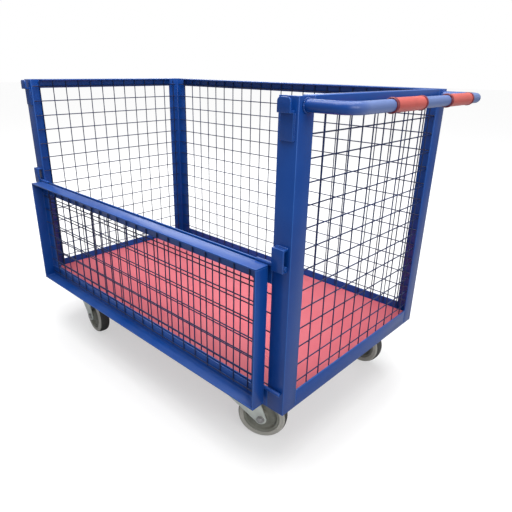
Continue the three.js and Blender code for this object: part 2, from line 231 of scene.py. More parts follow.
def makeWearGroup():
    # chips along marked edges and a few scuffs on the flats
    group, start, end = newGroup(
        "edgeWear",
        [("edgeAmount", "NodeSocketFloat", 0.5), ("scuffAmount", "NodeSocketFloat", 0.2)],
        [("chips", "NodeSocketFloat"), ("scuffs", "NodeSocketFloat"), ("edge", "NodeSocketFloat")],
    )
    place = addNode(group, "ShaderNodeTexCoord").outputs["Object"]
    edge = addNode(group, "ShaderNodeAttribute", attribute_name="edge").outputs["Fac"]
    breakUp = addNode(group, "ShaderNodeTexNoise", {
        "Vector": place, "Scale": 70.0, "Detail": 6.0, "Roughness": 0.7,
    }).outputs["Fac"]
    fewest, reach = 0.86, 0.3  # noise level where chips begin, and how far full wear lowers it
    threshold = mathNode(group, "SUBTRACT", fewest, scaled(group, start.outputs["edgeAmount"], reach))
    bare = mathNode(group, "GREATER_THAN", breakUp, threshold)
    group.links.new(scaled(group, bare, edge), end.inputs["chips"])
    group.links.new(edge, end.inputs["edge"])
    stretched = addNode(group, "ShaderNodeMapping", {"Vector": place, "Scale": (3.0, 9.0, 14.0)})
    scratch = addNode(group, "ShaderNodeTexNoise", {
        "Vector": stretched.outputs["Vector"], "Scale": 9.0, "Detail": 9.0, "Roughness": 0.75,
    }).outputs["Fac"]
    faint = rangeNode(group, scratch, 0.6, 0.78)
    group.links.new(scaled(group, faint, start.outputs["scuffAmount"]), end.inputs["scuffs"])
    return group


def makeDustGroup():
    # settled dust on faces that look up
    group, start, end = newGroup(
        "dust", [("amount", "NodeSocketFloat", 0.3)], [("mask", "NodeSocketFloat")],
    )
    place = addNode(group, "ShaderNodeTexCoord").outputs["Object"]
    normal = addNode(group, "ShaderNodeNewGeometry").outputs["Normal"]
    upward = addNode(group, "ShaderNodeSeparateXYZ", {"Vector": normal}).outputs["Z"]
    cloud = addNode(group, "ShaderNodeTexNoise", {"Vector": place, "Scale": 11.0, "Detail": 6.0})
    facing = rangeNode(group, upward, 0.3, 1.0)
    film = scaled(group, facing, rangeNode(group, cloud.outputs["Fac"], 0.35, 0.7))
    group.links.new(scaled(group, film, start.outputs["amount"]), end.inputs["mask"])
    return group


mottleGroup = makeMottleGroup()
wearGroup = makeWearGroup()
dustGroup = makeDustGroup()


def newMaterial(name, **fixed):
    material = bpy.data.materials.new(name)
    material.use_nodes = True
    tree = material.node_tree
    shader = tree.nodes["Principled BSDF"]
    for label, value in fixed.items():
        shader.inputs[label.replace("_", " ")].default_value = value
    return material, tree, shader


def placeGroup(tree, group, **values):
    node = tree.nodes.new("ShaderNodeGroup")
    node.node_tree = group
    for label, value in values.items():
        node.inputs[label].default_value = value
    return node


def addBump(tree, shader, height, strength, distance):
    bump = addNode(tree, "ShaderNodeBump", {
        "Height": height, "Strength": strength, "Distance": distance,
    })
    tree.links.new(bump.outputs["Normal"], shader.inputs["Normal"])


def makeEnamel(
    name, colours, rough=(0.3, 0.42), wear=0.5, scuff=0.25, dust=0.12, paintedSheen=None, varied=False,
):
    material, tree, shader = newMaterial(
        name, Coat_Roughness=0.12, Coat_Weight=0.15, Specular_IOR_Level=0.32,
    )
    mottle = placeGroup(tree, mottleGroup, broadScale=4.0, fineScale=420.0)
    marks = placeGroup(tree, wearGroup, edgeAmount=wear, scuffAmount=scuff)
    film = placeGroup(tree, dustGroup, amount=dust)
    cover = mottle.outputs["broad"]
    if varied:
        tone = addNode(tree, "ShaderNodeAttribute", attribute_name="tone").outputs["Fac"]
        cover = scaled(tree, mathNode(tree, "ADD", cover, tone), 0.5)
    base = mixColour(tree, cover, colours["deep"], colours["main"])
    if paintedSheen:
        # painted reflection: paler blue over the middle of the bar, standing in for the white sheen
        # it catches
        place = addNode(tree, "ShaderNodeTexCoord").outputs["Object"]
        across = addNode(tree, "ShaderNodeSeparateXYZ", {"Vector": place}).outputs["Y"]
        offset = mathNode(tree, "ABSOLUTE", mathNode(tree, "SUBTRACT", across, paintedSheen["middle"]))
        mask = rangeNode(tree, offset, paintedSheen["none"], paintedSheen["full"], 0.0, paintedSheen["most"])
        base = mixColour(tree, mask, base, paintedSheen["colour"])
    # painted highlight: the lighter "thin" colour is laid along marked edges, standing in for gloss
    # catching the light there
    edgeHighlighted = mixColour(tree, scaled(tree, marks.outputs["edge"], 0.5), base, colours["thin"])
    scuffed = mixColour(tree, marks.outputs["scuffs"], edgeHighlighted, colours["scuff"])
    dusted = mixColour(tree, film.outputs["mask"], scuffed, colours["dust"])
    worn = mixColour(tree, marks.outputs["chips"], dusted, colours["steel"])
    tree.links.new(worn, shader.inputs["Base Color"])
    tree.links.new(scaled(tree, marks.outputs["chips"], 0.8), shader.inputs["Metallic"])
    gloss = rangeNode(tree, mottle.outputs["broad"], 0.0, 1.0, rough[0], rough[1])
    duller = mathNode(tree, "ADD", gloss, scaled(tree, film.outputs["mask"], 0.8), clamp=True)
    tree.links.new(duller, shader.inputs["Roughness"])
    addBump(tree, shader, mottle.outputs["fine"], strength=0.12, distance=0.0004)
    return material


# the "thin" colour is a painted edge highlight, lighter than the paint
bluePaint = {
    "main": (0.004, 0.058, 0.29), "deep": (0.002, 0.04, 0.22), "thin": (0.03, 0.13, 0.46),
    "scuff": (0.045, 0.12, 0.34), "dust": (0.18, 0.24, 0.36), "steel": (0.3, 0.29, 0.28),
}
blueEnamel = makeEnamel("blueEnamel", bluePaint)
# painted reflection: the bar's middle run is painted paler, in place of the white sheen it catches
barEnamel = makeEnamel("barEnamel", bluePaint, paintedSheen={
    "middle": cageMiddle.y, "none": 0.318, "full": 0.272, "most": 0.85,
    "colour": (0.13, 0.19, 0.4),
})
# the wires' "thin" colour is a painted highlight, laid on the weld nuggets at the crossings
wireEnamel = makeEnamel("wireEnamel", {
    "main": (0.012, 0.028, 0.11), "deep": (0.007, 0.013, 0.05), "thin": (0.03, 0.05, 0.14),
    "scuff": (0.08, 0.09, 0.15), "dust": (0.16, 0.17, 0.22), "steel": (0.35, 0.35, 0.36),
}, rough=(0.35, 0.55), wear=0.7, varied=True)


deckColours = {
    "deep": (0.48, 0.092, 0.12), "main": (0.53, 0.112, 0.14), "scuff": (0.37, 0.08, 0.09),
    "dust": (0.55, 0.24, 0.25), "wood": (0.5, 0.33, 0.18),
}
gripColours = {
    "deep": (0.47, 0.082, 0.07), "main": (0.54, 0.105, 0.09), "scuff": (0.3, 0.05, 0.045),
    "rim": (0.12, 0.004, 0.018),
}
zincColours = {"scuff": (0.16, 0.16, 0.14), "dust": (0.24, 0.22, 0.18)}
wheelDust = (0.3, 0.27, 0.22)


def makeDeckPaint():
    material, tree, shader = newMaterial("deckPaint", Specular_IOR_Level=0.25)
    place = addNode(tree, "ShaderNodeTexCoord").outputs["Object"]
    mottle = placeGroup(tree, mottleGroup, broadScale=3.0, fineScale=160.0)
    marks = placeGroup(tree, wearGroup, edgeAmount=0.6, scuffAmount=0.35)
    film = placeGroup(tree, dustGroup, amount=0.1)
    base = mixColour(tree, mottle.outputs["broad"], deckColours["deep"], deckColours["main"])
    scuffed = mixColour(tree, marks.outputs["scuffs"], base, deckColours["scuff"])
    dusted = mixColour(tree, film.outputs["mask"], scuffed, deckColours["dust"])
    worn = mixColour(tree, marks.outputs["chips"], dusted, deckColours["wood"])
    tree.links.new(worn, shader.inputs["Base Color"])
    gloss = rangeNode(tree, mottle.outputs["broad"], 0, 1, 0.5, 0.65)
    tree.links.new(gloss, shader.inputs["Roughness"])
    along = addNode(tree, "ShaderNodeMapping", {"Vector": place, "Scale": (1.5, 26.0, 26.0)})
    grain = addNode(tree, "ShaderNodeTexNoise", {
        "Vector": along.outputs["Vector"], "Scale": 7.0, "Detail": 8.0, "Roughness": 0.6,
    }).outputs["Fac"]
    height = mathNode(tree, "ADD", grain, scaled(tree, mottle.outputs["fine"], 0.3))
    addBump(tree, shader, height, strength=0.25, distance=0.0006)
    return material


def makeGripRubber():
    material, tree, shader = newMaterial("gripRubber", Specular_IOR_Level=0.45)
    mottle = placeGroup(tree, mottleGroup, broadScale=25.0, fineScale=900.0)
    marks = placeGroup(tree, wearGroup, edgeAmount=0.0, scuffAmount=0.5)
    rim = scaled(tree, marks.outputs["edge"], 0.9)
    base = mixColour(tree, mottle.outputs["broad"], gripColours["deep"], gripColours["main"])
    scuffed = mixColour(tree, marks.outputs["scuffs"], base, gripColours["scuff"])
    dark = mixColour(tree, rim, scuffed, gripColours["rim"])
    tree.links.new(dark, shader.inputs["Base Color"])
    gloss = rangeNode(tree, mottle.outputs["broad"], 0, 1, 0.32, 0.42)
    tree.links.new(gloss, shader.inputs["Roughness"])
    addBump(tree, shader, mottle.outputs["fine"], strength=0.3, distance=0.0003)
    return material


def makeZinc(name, bright, dull, rough=(0.32, 0.5)):
    material, tree, shader = newMaterial(name, Metallic=0.35)
    place = addNode(tree, "ShaderNodeTexCoord").outputs["Object"]
    spangle = addNode(tree, "ShaderNodeTexVoronoi", {"Vector": place, "Scale": 130.0})
    mottle = placeGroup(tree, mottleGroup, broadScale=14.0, fineScale=380.0)
    marks = placeGroup(tree, wearGroup, edgeAmount=0.2, scuffAmount=0.6)
    film = placeGroup(tree, dustGroup, amount=0.5)
    flakes = scaled(tree, spangle.outputs["Color"], 0.25)
    blend = mathNode(tree, "ADD", scaled(tree, mottle.outputs["broad"], 0.75), flakes, clamp=True)
    base = mixColour(tree, blend, dull, bright)
    scuffed = mixColour(tree, marks.outputs["scuffs"], base, zincColours["scuff"])
    dusted = mixColour(tree, film.outputs["mask"], scuffed, zincColours["dust"])
    tree.links.new(dusted, shader.inputs["Base Color"])
    gloss = rangeNode(tree, mottle.outputs["broad"], 0, 1, rough[1], rough[0])
    tree.links.new(gloss, shader.inputs["Roughness"])
    addBump(tree, shader, mottle.outputs["fine"], strength=0.12, distance=0.0003)
    return material


def makeWheelRubber(name, clean, dirty, rough, band=None):
    material, tree, shader = newMaterial(name, Specular_IOR_Level=0.4)
    mottle = placeGroup(tree, mottleGroup, broadScale=30.0, fineScale=500.0)
    marks = placeGroup(tree, wearGroup, edgeAmount=0.0, scuffAmount=0.8)
    film = placeGroup(tree, dustGroup, amount=0.35)
    base = mixColour(tree, mottle.outputs["broad"], dirty, clean)
    if band:
        tread = addNode(tree, "ShaderNodeAttribute", attribute_name="tone").outputs["Fac"]
        base = mixColour(tree, tread, base, band)
    darkened = tuple(channel * 0.45 for channel in clean)
    scuffed = mixColour(tree, marks.outputs["scuffs"], base, darkened)
    dusted = mixColour(tree, film.outputs["mask"], scuffed, wheelDust)
    tree.links.new(dusted, shader.inputs["Base Color"])
    gloss = rangeNode(tree, mottle.outputs["broad"], 0, 1, rough + 0.15, rough)
    tree.links.new(gloss, shader.inputs["Roughness"])
    addBump(tree, shader, mottle.outputs["fine"], strength=0.35, distance=0.0005)
    return material


deckPaint = makeDeckPaint()
gripRubber = makeGripRubber()
zincPlate = makeZinc("zincPlate", (0.74, 0.79, 0.75), (0.54, 0.58, 0.54))
brightSteel = makeZinc("brightSteel", (0.5, 0.5, 0.5), (0.26, 0.26, 0.26), rough=(0.28, 0.42))
tyreRubber = makeWheelRubber(
    "tyreRubber", (0.5, 0.495, 0.455), (0.38, 0.375, 0.34), 0.6, band=(0.06, 0.06, 0.058),
)
wheelMoulding = makeWheelRubber("wheelMoulding", (0.26, 0.265, 0.23), (0.16, 0.165, 0.142), 0.5)
print("materials ready")


# ---- angle-iron members, straps and plates: rounded copies of the frame's solids
steelSections = {
    "outerRounding": 0.0012,
    "rootFillet": 0.0035,  # inside corner of a rolled angle
    "rootSteps": 3,
    "plateRounding": 0.0008,
    "foldAngle": 30,
}


def roundedCopy(node, outer, inner):
    bm = newBmesh()
    bm.from_mesh(frame["nodes"][node].data)
    bmesh.ops.remove_doubles(bm, verts=bm.verts, dist=1e-5)
    bmesh.ops.dissolve_limit(
        bm, angle_limit=math.radians(1), verts=bm.verts, edges=bm.edges,
        use_dissolve_boundaries=False,
    )
    fold = math.radians(steelSections["foldAngle"])

    def foldsThat(convex):
        return [
            e for e in bm.edges
            if len(e.link_faces) == 2 and e.calc_face_angle(0) > fold and e.is_convex == convex
        ]

    hollow = foldsThat(False) if inner else []
    if hollow:
        roundEdges(bm, hollow, inner, steelSections["rootSteps"], wear=0)
    roundEdges(bm, foldsThat(True), outer)
    return bm


def makeSteelwork():
    outer, inner = steelSections["outerRounding"], steelSections["rootFillet"]
    angles = [f"post_{corner}" for corner in corners]
    angles += [f"base_rail_{side}" for side in ("front", "back", "left", "right")]
    angles += [f"top_rail_{side}" for side in ("back", "left", "right")]
    angles += ["mid_rail_front", "gate_rail_top", "gate_rail_bottom"]
    angles += ["gate_stile_left", "gate_stile_right"]
    straps = [f"gate_{kind}_{end}" for kind in ("keeper", "hook") for end in ends]
    plates = [f"caster_cross_plate_{end}" for end in ends]
    for node in angles:
        bm = roundedCopy(node, outer, inner)
        finishPiece(f"steel_{node}", bm, blueEnamel, bodyOfNode[node], (node,))
    for node in straps + plates:
        bm = roundedCopy(node, steelSections["plateRounding"], 0)
        finishPiece(f"steel_{node}", bm, blueEnamel, bodyOfNode[node], (node,))


makeSteelwork()
print("steelwork ready")


# ---- deck board
deckBoard = {"edgeRounding": 0.0025, "edgeSteps": 3}


def makeDeck():
    bm = newBmesh()
    low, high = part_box("deck_board")
    addBlock(bm, low, high, deckBoard["edgeRounding"], deckBoard["edgeSteps"])
    finishPiece("deck_painted_board", bm, deckPaint, "frame", ("deck_board",))


makeDeck()


# ---- welded mesh panels
meshPanels = {
    "pitch": 0.05,
    "wireSides": 8,
    "wander": 0.0004,  # how far a wire strays from its line
    "weldRadius": 0.0024,
    # weld nuggets carry the edge mark: some chips, and a painted glint at each crossing
    "weldGlintAndWear": 0.5,
    # node: (first upright, first cross wire), both from the panel's lower corner
    "starts": {
        "mesh_back": (0.038, 0.034), "mesh_front_lower": (0.038, 0.026),
        "mesh_left": (0.029, 0.034), "mesh_right": (0.029, 0.034), "mesh_gate": (0.04, 0.008),
    },
    # node: the side that the uprights lie on, along the panel's thin axis
    "uprightSide": {
        "mesh_back": 1, "mesh_front_lower": -1, "mesh_left": -1, "mesh_right": 1, "mesh_gate": 1,
    },
}


def stationsAlong(start, stop, first, pitch):
    number = int((stop - start - first) / pitch + 1e-6) + 1
    return [start + first + pitch * index for index in range(number)]


def makePanel(node):
    low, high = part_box(node)
    thin = 1 if high.y - low.y < high.x - low.x else 0
    across = 1 - thin
    radius = (high[thin] - low[thin]) / 4
    middle = (low[thin] + high[thin]) / 2
    side = meshPanels["uprightSide"][node]
    first, firstLevel = meshPanels["starts"][node]
    uprights = stationsAlong(low[across], high[across], first, meshPanels["pitch"])
    levels = stationsAlong(low.z, high.z, firstLevel, meshPanels["pitch"])
    wander = meshPanels["wander"]

    def point(along, depth, z):
        spot = Vector((0, 0, z))
        spot[across] = along
        spot[thin] = middle + side * depth
        return spot

    def stray():
        return random.uniform(-wander, wander)

    bm = newBmesh()
    for x in uprights:
        faces = addRod(
            bm, point(x + stray(), radius, low.z), point(x + stray(), radius, high.z),
            radius, meshPanels["wireSides"],
        )
        markFaces(bm, faces, "tone", random.random())
    for z in levels:
        faces = addRod(
            bm, point(low[across], -radius, z + stray()),
            point(high[across], -radius, z + stray()),
            radius, meshPanels["wireSides"],
        )
        markFaces(bm, faces, "tone", random.random())
    for x in uprights:
        for z in levels:
            spot = Matrix.Translation(point(x, 0, z))
            addBlob(bm, meshPanels["weldRadius"], spot, meshPanels["weldGlintAndWear"])
    finishPiece(
        f"wires_{node}", bm, wireEnamel, bodyOfNode[node], (node,), sharpAngle=60,
    )


for panel in meshPanels["starts"]:
    makePanel(panel)
print("mesh panels ready")


# ---- weld beads
weldBeads = {
    "ripple": 0.0034, "size": 0.0026, "stretch": 1.15, "wear": 0.15,
    "swell": (0.88, 1.1), "ringSwell": (0.9, 1.1), "fewestInRing": 8,
}
frameSeams = {
    "inset": 0.0045,  # from a post's outer face in to the bead
    "sink": 0.0001,
    # both ends of a bead: up from the post's foot, down from its top, down from the rail's top
    "baseRail": (0.004, 0.048), "topRail": (0.029, 0.004), "middleRail": (0.044, 0.002),
    # hooks and keepers: a hook's side beads run up from its foot
    "hookRun": (0.002, 0.05), "strapInset": 0.003, "strapSink": 0.0005,
    # cross plates: in from the long edge, and along from the end
    "plateInset": 0.001, "plateRun": (0.01, 0.05),
}
gateSeams = {
    "cornerInset": 0.0046, "cornerGaps": (0.004, 0.006),
    "railInset": 0.008, "railDepth": 0.0355, "railHeight": 0.036, "railSize": 0.002,
    "pinRun": (0.003, 0.036), "pinLift": 0.001, "pinSize": 0.0018,
}


def addBead(bm, start, end, size=weldBeads["size"]):
    start, end = Vector(start), Vector(end)
    number = max(2, round((end - start).length / weldBeads["ripple"]))
    turn = turnTowards(end - start)
    for index in range(number + 1):
        spot = Matrix.Translation(start.lerp(end, index / number))
        swell = size * random.uniform(*weldBeads["swell"])
        shape = Matrix.Diagonal((swell, swell, swell * weldBeads["stretch"], 1))
        addBlob(bm, 1, spot @ turn @ shape, weldBeads["wear"])


def addRingBead(bm, centre, axis, radius):
    steps = max(weldBeads["fewestInRing"], round(math.tau * radius / weldBeads["ripple"]))
    turn = turnTowards(axis)
    for index in range(steps):
        angle = math.tau * index / steps
        spot = turn @ Vector((radius * math.cos(angle), radius * math.sin(angle), 0))
        size = weldBeads["size"] * random.uniform(*weldBeads["ringSwell"])
        addBlob(bm, size, Matrix.Translation(Vector(centre) + spot), weldBeads["wear"])


def addPostBeads(bm, corner):
    low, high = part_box(f"post_{corner}")
    signX = 1 if low.x > cageMiddle.x else -1
    signY = 1 if low.y > cageMiddle.y else -1
    openSide = signY < 0
    seamX = (low.x if signX > 0 else high.x) - signX * frameSeams["sink"]
    seamY = (low.y if signY > 0 else high.y) - signY * frameSeams["sink"]
    insideX = (high.x if signX > 0 else low.x) - signX * frameSeams["inset"]
    insideY = (high.y if signY > 0 else low.y) - signY * frameSeams["inset"]
    baseRun = [low.z + rise for rise in frameSeams["baseRail"]]
    topRun = [high.z - drop for drop in frameSeams["topRail"]]
    for bottom, top in (baseRun, topRun):
        if bottom == baseRun[0] or not openSide:
            addBead(bm, (seamX, insideY, bottom), (seamX, insideY, top))
        addBead(bm, (insideX, seamY, bottom), (insideX, seamY, top))
    if openSide:
        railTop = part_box("mid_rail_front")[1].z
        bottom, top = (railTop - drop for drop in frameSeams["middleRail"])
        addBead(bm, (seamX, insideY, bottom), (seamX, insideY, top))


def makeFrameWelds():
    bm = newBmesh()
    for corner in corners:
        addPostBeads(bm, corner)
    inset, sink = frameSeams["strapInset"], frameSeams["strapSink"]
    hookStart, hookStop = frameSeams["hookRun"]
    plateStart, plateStop = frameSeams["plateRun"]
    for end in ends:
        for kind in ("keeper", "hook"):
            low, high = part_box(f"gate_{kind}_{end}")
            face = high.y - sink
            levels = (low.z, high.z)
            if kind == "hook":
                levels = (low.z,)
                for x in (low.x, high.x):
                    addBead(bm, (x, face, low.z + hookStart), (x, face, low.z + hookStop))
            for z in levels:
                addBead(bm, (low.x + inset, face, z), (high.x - inset, face, z))
        low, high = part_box(f"caster_cross_plate_{end}")
        for y in (low.y + frameSeams["plateInset"], high.y - frameSeams["plateInset"]):
            addBead(bm, (low.x + plateStart, y, high.z), (low.x + plateStop, y, high.z))
            addBead(bm, (high.x - plateStop, y, high.z), (high.x - plateStart, y, high.z))
    finishPiece("weld_beads_frame", bm, blueEnamel, "frame", sharpAngle=70)


def makeGateWelds():
    bm = newBmesh()
    nearGap, farGap = gateSeams["cornerGaps"]
    railHeight = gateSeams["railHeight"]
    for end in ends:
        low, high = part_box(f"gate_stile_{end}")
        outside, inside, towards = (low.x, high.x, 1) if end == "left" else (high.x, low.x, -1)
        x = outside + towards * gateSeams["cornerInset"]
        for z in (low.z, high.z):
            addBead(bm, (x, low.y + nearGap, z), (x, high.y - farGap, z))
        x, y = outside + towards * gateSeams["railInset"], low.y + gateSeams["railDepth"]
        for z in (low.z + railHeight, high.z - railHeight):
            addBead(bm, (x, y, z), (inside, y, z), gateSeams["railSize"])
        pinLow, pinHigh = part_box(f"gate_latch_pin_{end}")
        start, stop = (outside + towards * reach for reach in gateSeams["pinRun"])
        y = high.y + gateSeams["pinLift"]
        for z in (pinLow.z, pinHigh.z):
            addBead(bm, (start, y, z), (stop, y, z), gateSeams["pinSize"])
    finishPiece("weld_beads_gate", bm, blueEnamel, "gate", sharpAngle=70)


makeFrameWelds()
makeGateWelds()


# ---- gate pins
gatePins = {"segments": 28, "chamfer": 0.0012}


def makePins():
    for kind in ("hinge", "latch"):
        for end in ends:
            node = f"gate_{kind}_pin_{end}"
            low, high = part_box(node)
            middle = (low + high) / 2
            bm = newBmesh()
            addRod(
                bm, (low.x, middle.y, middle.z), (high.x, middle.y, middle.z),
                (high.z - low.z) / 2, gatePins["segments"], gatePins["chamfer"],
            )
            finishPiece(f"pin_{kind}_{end}", bm, blueEnamel, bodyOfNode[node], (node,))


makePins()
print("gate fittings ready")


# ---- push handle and grips
pushHandle = {
    "segments": 32, "bendSteps": 14, "bendRadius": 0.04,
    "weldReach": 0.001, "weldLift": 0.0006,  # out from the post and off the tube
}
handleGrips = {
    "steps": 40, "wall": 0.003, "bevel": 0.0012,
    "lip": 0.0014, "lipLength": 0.0068, "lipSlope": 0.0008,  # the raised ring at each end
    "bodyStart": 0.02, "markPast": 0.001,
}


def makeHandle():
    low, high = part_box("push_handle")
    radius = (high.z - low.z) / 2
    z = (low.z + high.z) / 2
    bend = pushHandle["bendRadius"]
    legY = low.y + radius
    barX = high.x - radius
    bm = newBmesh()
    bmesh.ops.create_circle(
        bm, cap_ends=False, segments=pushHandle["segments"], radius=radius,
        matrix=Matrix.Translation((low.x, legY, z)) @ Matrix.Rotation(math.pi / 2, 4, "Y"),
    )
    rim = list(bm.edges)

    def runTo(edges, move):
        made = bmesh.ops.extrude_edge_only(bm, edges=edges)
        verts = [item for item in made["geom"] if isinstance(item, bmesh.types.BMVert)]
        bmesh.ops.translate(bm, vec=move, verts=verts)
        return [
            item for item in made["geom"]
            if isinstance(item, bmesh.types.BMEdge) and all(v in verts for v in item.verts)
        ]

    def bendRound(edges, centre):
        verts = list({v for e in edges for v in e.verts})
        made = bmesh.ops.spin(
            bm, geom=verts + edges, cent=centre, axis=(0, 0, 1), angle=math.pi / 2,
            steps=pushHandle["bendSteps"], use_merge=False, use_duplicate=False,
        )
        return [item for item in made["geom_last"] if isinstance(item, bmesh.types.BMEdge)]

    leg = barX - bend - low.x
    bar = high.y - low.y - 2 * radius - 2 * bend
    end = runTo(rim, (leg, 0, 0))
    end = bendRound(end, (barX - bend, legY + bend, z))
    end = runTo(end, (0, bar, 0))
    end = bendRound(end, (barX - bend, legY + bend + bar, z))
    runTo(end, (-leg, 0, 0))
    bmesh.ops.holes_fill(bm, edges=[e for e in bm.edges if e.is_boundary], sides=0)
    finishPiece("push_bar", bm, barEnamel, "frame", ("push_handle",))

    welds = newBmesh()
    for y in (legY, high.y - radius):
        foot = (low.x + pushHandle["weldReach"], y, z)
        addRingBead(welds, foot, (1, 0, 0), radius + pushHandle["weldLift"])
    finishPiece("weld_beads_handle", welds, blueEnamel, "frame", sharpAngle=70)


def makeGrip(name):
    node = f"handle_grip_{name}"
    low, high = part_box(node)
    middle = (low + high) / 2
    outer = (high.z - low.z) / 2
    inner = outer - handleGrips["wall"]
    half = (high.y - low.y) / 2
    bevel, lip = handleGrips["bevel"], handleGrips["lip"]
    lipEnd = half - handleGrips["lipLength"]
    side = [
        (inner, half), (outer - bevel, half), (outer, half - bevel), (outer, lipEnd),
        (outer - lip, lipEnd - handleGrips["lipSlope"]),
        (outer - lip, half - handleGrips["bodyStart"]),
    ]
    bm = newBmesh()
    place = Matrix.Translation(middle) @ Matrix.Rotation(-math.pi / 2, 4, "X")
    addTurned(bm, mirrored(side), handleGrips["steps"], place)
    marked = lipEnd - handleGrips["markPast"]
    rims = [f for f in bm.faces if abs(f.calc_center_median().y - middle.y) > marked]
    markFaces(bm, rims, "edge", 1)
    finishPiece(f"grip_{name}", bm, gripRubber, "frame", (node,))


makeHandle()
for gripName in ("front", "back"):
    makeGrip(gripName)
print("handle ready")


# ---- casters
casterPlate = {"corner": 0.008, "cornerSteps": 5, "rounding": 0.0008, "sharpAngle": 1}
casterBolt = {
    "spread": (0.045, 0.035), "washerThick": 0.0015, "nutThick": 0.0055, "tailLength": 0.004,
    "headThick": 0.004,
    # radius, sides, chamfer
    "washer": (0.011, 28, 0.0004), "hexagon": (0.0085, 6, 0.0008), "tail": (0.0045, 20, 0.0007),
}
raceway = {
    "steps": 48, "seamAt": 0.45, "gap": 0.0016, "floorRadius": 0.026,
    # (in from the outer face, up from the race's foot, its seam, the seam's upper side or its top)
    "foot": ((0.003, 0.002), (0, 0.005)),
    "seam": ((0, -0.001), (0.001, 0), (0.006, 0)),
    "cup": ((0.006, 0), (0.002, 0), (0.0008, 0.001)),
    "crown": ((0.002, -0.003), (0.007, 0)),
}
casterFork = {"rounding": 0.0022}
casterAxle = {
    "seat": 0.0303,  # outer face of a fork cheek, from the wheel's middle
    "washerEnd": 0.0016, "nutEnd": 0.0062, "boltEnd": 0.0066,  # out from the seat
    # radius, sides, chamfer
    "bolt": (0.006, 28, 0.001), "washer": (0.0112, 32, 0.0003), "nut": (0.0098, 6, 0.0008),
}
wheel = {
    "steps": 64, "tread": 0.07, "core": 0.052, "width": 0.04, "band": 0.0025,
    "bossReach": 0.004,  # out from the tyre's side
    # (out from the core, in from the side), then (in from the tread, in from the side)
    "tyreFoot": ((0.0003, 0.0004), (0.004, 0), (0.0065, 0.0012), (0.0085, 0.0002)),
    "shoulder": ((0.007, 0.0008), (0.003, 0.004), (0.0008, 0.0095), (0, 0.015)),
    # (radius, in from the boss), (radius, in from the side), (in from the core, in from the side)
    "boss": (
        (0.0061, 0), (0.0125, 0), (0.0135, 0.0008), (0.0165, 0.0008), (0.0175, 0),
        (0.0198, 0.0002), (0.0212, 0.0025),
    ),
    "dish": ((0.0232, 0.0082), (0.026, 0.0092)),
    "rim": (
        (0.0145, 0.0092), (0.0105, 0.008), (0.0075, 0.0016),
        (0.006, 0.001), (0.001, 0.001), (0, 0.002),
    ),
}


def casterPlace(corner):
    # the stem's place on the floor and the turn of the trailing wheel
    stem = Vector(jointNamed[f"swivel_{corner}"]["pos_m"])
    axis = jointNamed[f"wheel_spin_{corner}"]["axis"]
    turn = math.atan2(-axis[0], axis[1])
    return Matrix.Translation((stem.x, stem.y, 0)), Matrix.Rotation(turn, 4, "Z")


def axleLine(corner, turn):
    # the wheel's middle, with local Z along its axle
    centre = Vector(jointNamed[f"wheel_spin_{corner}"]["pos_m"])
    return Matrix.Translation(centre) @ turn @ Matrix.Rotation(-math.pi / 2, 4, "X")


def riseOf(edge):
    return abs(edge.verts[0].co.z - edge.verts[1].co.z)


def makeCasterPlate(corner):
    low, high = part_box(f"caster_plate_{corner}")
    bm = newBmesh()
    addBlock(bm, low, high)
    upright = {e for e in bm.edges if riseOf(e) > 0.001}
    roundEdges(bm, upright, casterPlate["corner"], casterPlate["cornerSteps"])
    flat = {
        e for e in bm.edges if riseOf(e) < 1e-5 and len(e.link_faces) == 2
        and e.calc_face_angle(0) > casterPlate["sharpAngle"]
    }
    roundEdges(bm, flat, casterPlate["rounding"])
    finishPiece(
        f"plate_{corner}", bm, zincPlate, "frame", (f"caster_plate_{corner}",),
    )

    bolts = newBmesh()
    centre = (low + high) / 2
    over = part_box("caster_cross_plate_left")[1].z
    washerLow = low.z - casterBolt["washerThick"]
    nutLow = washerLow - casterBolt["nutThick"]
    stack = (
        (washerLow, low.z, "washer"), (nutLow, washerLow, "hexagon"),
        (nutLow - casterBolt["tailLength"], nutLow, "tail"),
        (over, over + casterBolt["headThick"], "hexagon"),
    )
    for signX in (-1, 1):
        for signY in (-1, 1):
            x = centre.x + signX * casterBolt["spread"][0]
            y = centre.y + signY * casterBolt["spread"][1]
            for bottom, top, kind in stack:
                addRod(bolts, (x, y, bottom), (x, y, top), *casterBolt[kind])
    finishPiece(f"bolts_{corner}", bolts, brightSteel, "frame")


def makeRaceway(corner, place):
    node = f"caster_raceway_{corner}"
    low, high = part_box(node)
    outer = (high.x - low.x) / 2
    seam = low.z + (high.z - low.z) * raceway["seamAt"]
    profile = [(0.0, low.z), (raceway["floorRadius"], low.z)]
    runs = (("foot", low.z), ("seam", seam), ("cup", seam + raceway["gap"]), ("crown", high.z))
    for run, level in runs:
        profile += [(outer - inward, level + rise) for inward, rise in raceway[run]]
    profile.append((0.0, high.z))
    bm = newBmesh()
    addTurned(bm, profile, raceway["steps"], place, closed=False)
    finishPiece(f"raceway_{corner}", bm, zincPlate, "frame", (node,))


def makeFork(corner):
    node = f"caster_fork_{corner}"
    bm = roundedCopy(node, casterFork["rounding"], 0)
    finishPiece(f"fork_{corner}", bm, zincPlate, bodyOfNode[node], (node,))


def makeAxle(corner, turn):
    node = f"caster_axle_{corner}"
    along = axleLine(corner, turn)
    bm = newBmesh()

    def rod(start, end, kind):
        tips = (along @ Vector((0, 0, height)) for height in (start, end))
        addRod(bm, *tips, *casterAxle[kind])

    seat = casterAxle["seat"]
    washerEnd, nutEnd, boltEnd = (
        seat + casterAxle[label] for label in ("washerEnd", "nutEnd", "boltEnd")
    )
    rod(-boltEnd, boltEnd, "bolt")
    for side in (-1, 1):
        rod(side * seat, side * washerEnd, "washer")
        rod(side * washerEnd, side * nutEnd, "nut")
    finishPiece(f"axle_{corner}", bm, brightSteel, bodyOfNode[node], (node,))


